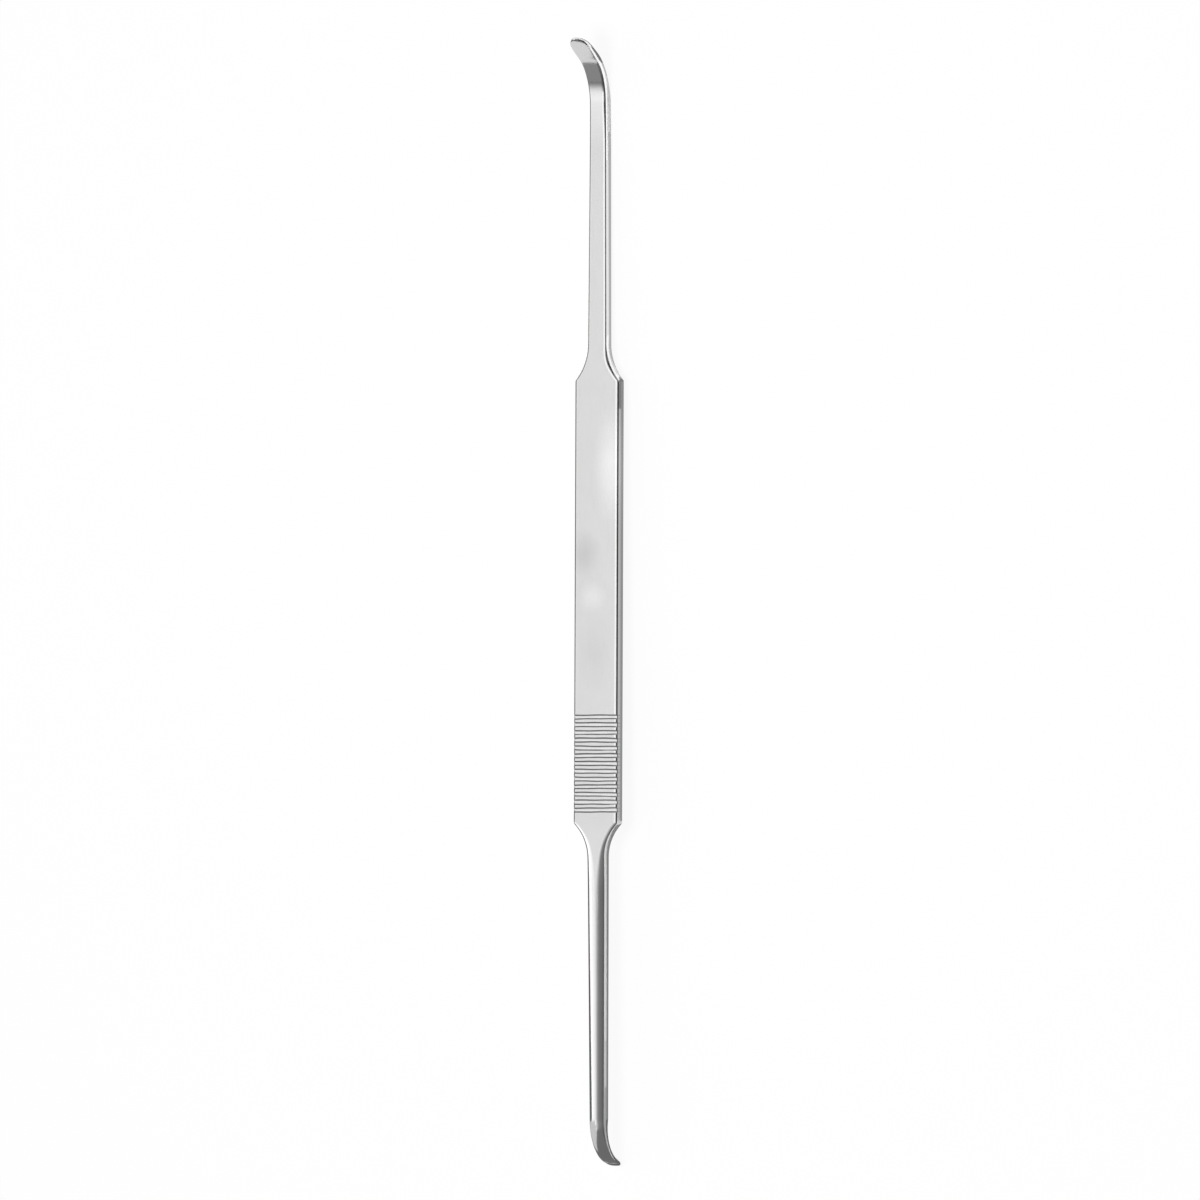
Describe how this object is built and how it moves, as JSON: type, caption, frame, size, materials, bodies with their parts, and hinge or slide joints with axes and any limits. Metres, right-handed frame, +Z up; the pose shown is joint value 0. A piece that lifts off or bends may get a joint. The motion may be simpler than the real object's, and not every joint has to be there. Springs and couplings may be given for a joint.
{
  "type": "septum elevator",
  "caption": "Double-ended septum elevator: flat handle with cross grooves, one blade bent forward and a smaller one bent back.",
  "frame": {"origin": "on the surface it lies on, under the middle of its bounding box", "axes": "+Y along the instrument to the blade bent forward, +X across the handle, +Z up from the surface, with the grooved face up"},
  "size_m": [0.0086, 0.2, 0.0113],
  "materials": {
    "satin_steel": "satin-polished stainless steel, bare"
  },
  "bodies": {
    "root": {"septum_elevator": "satin_steel"}
  },
  "joints": []
}
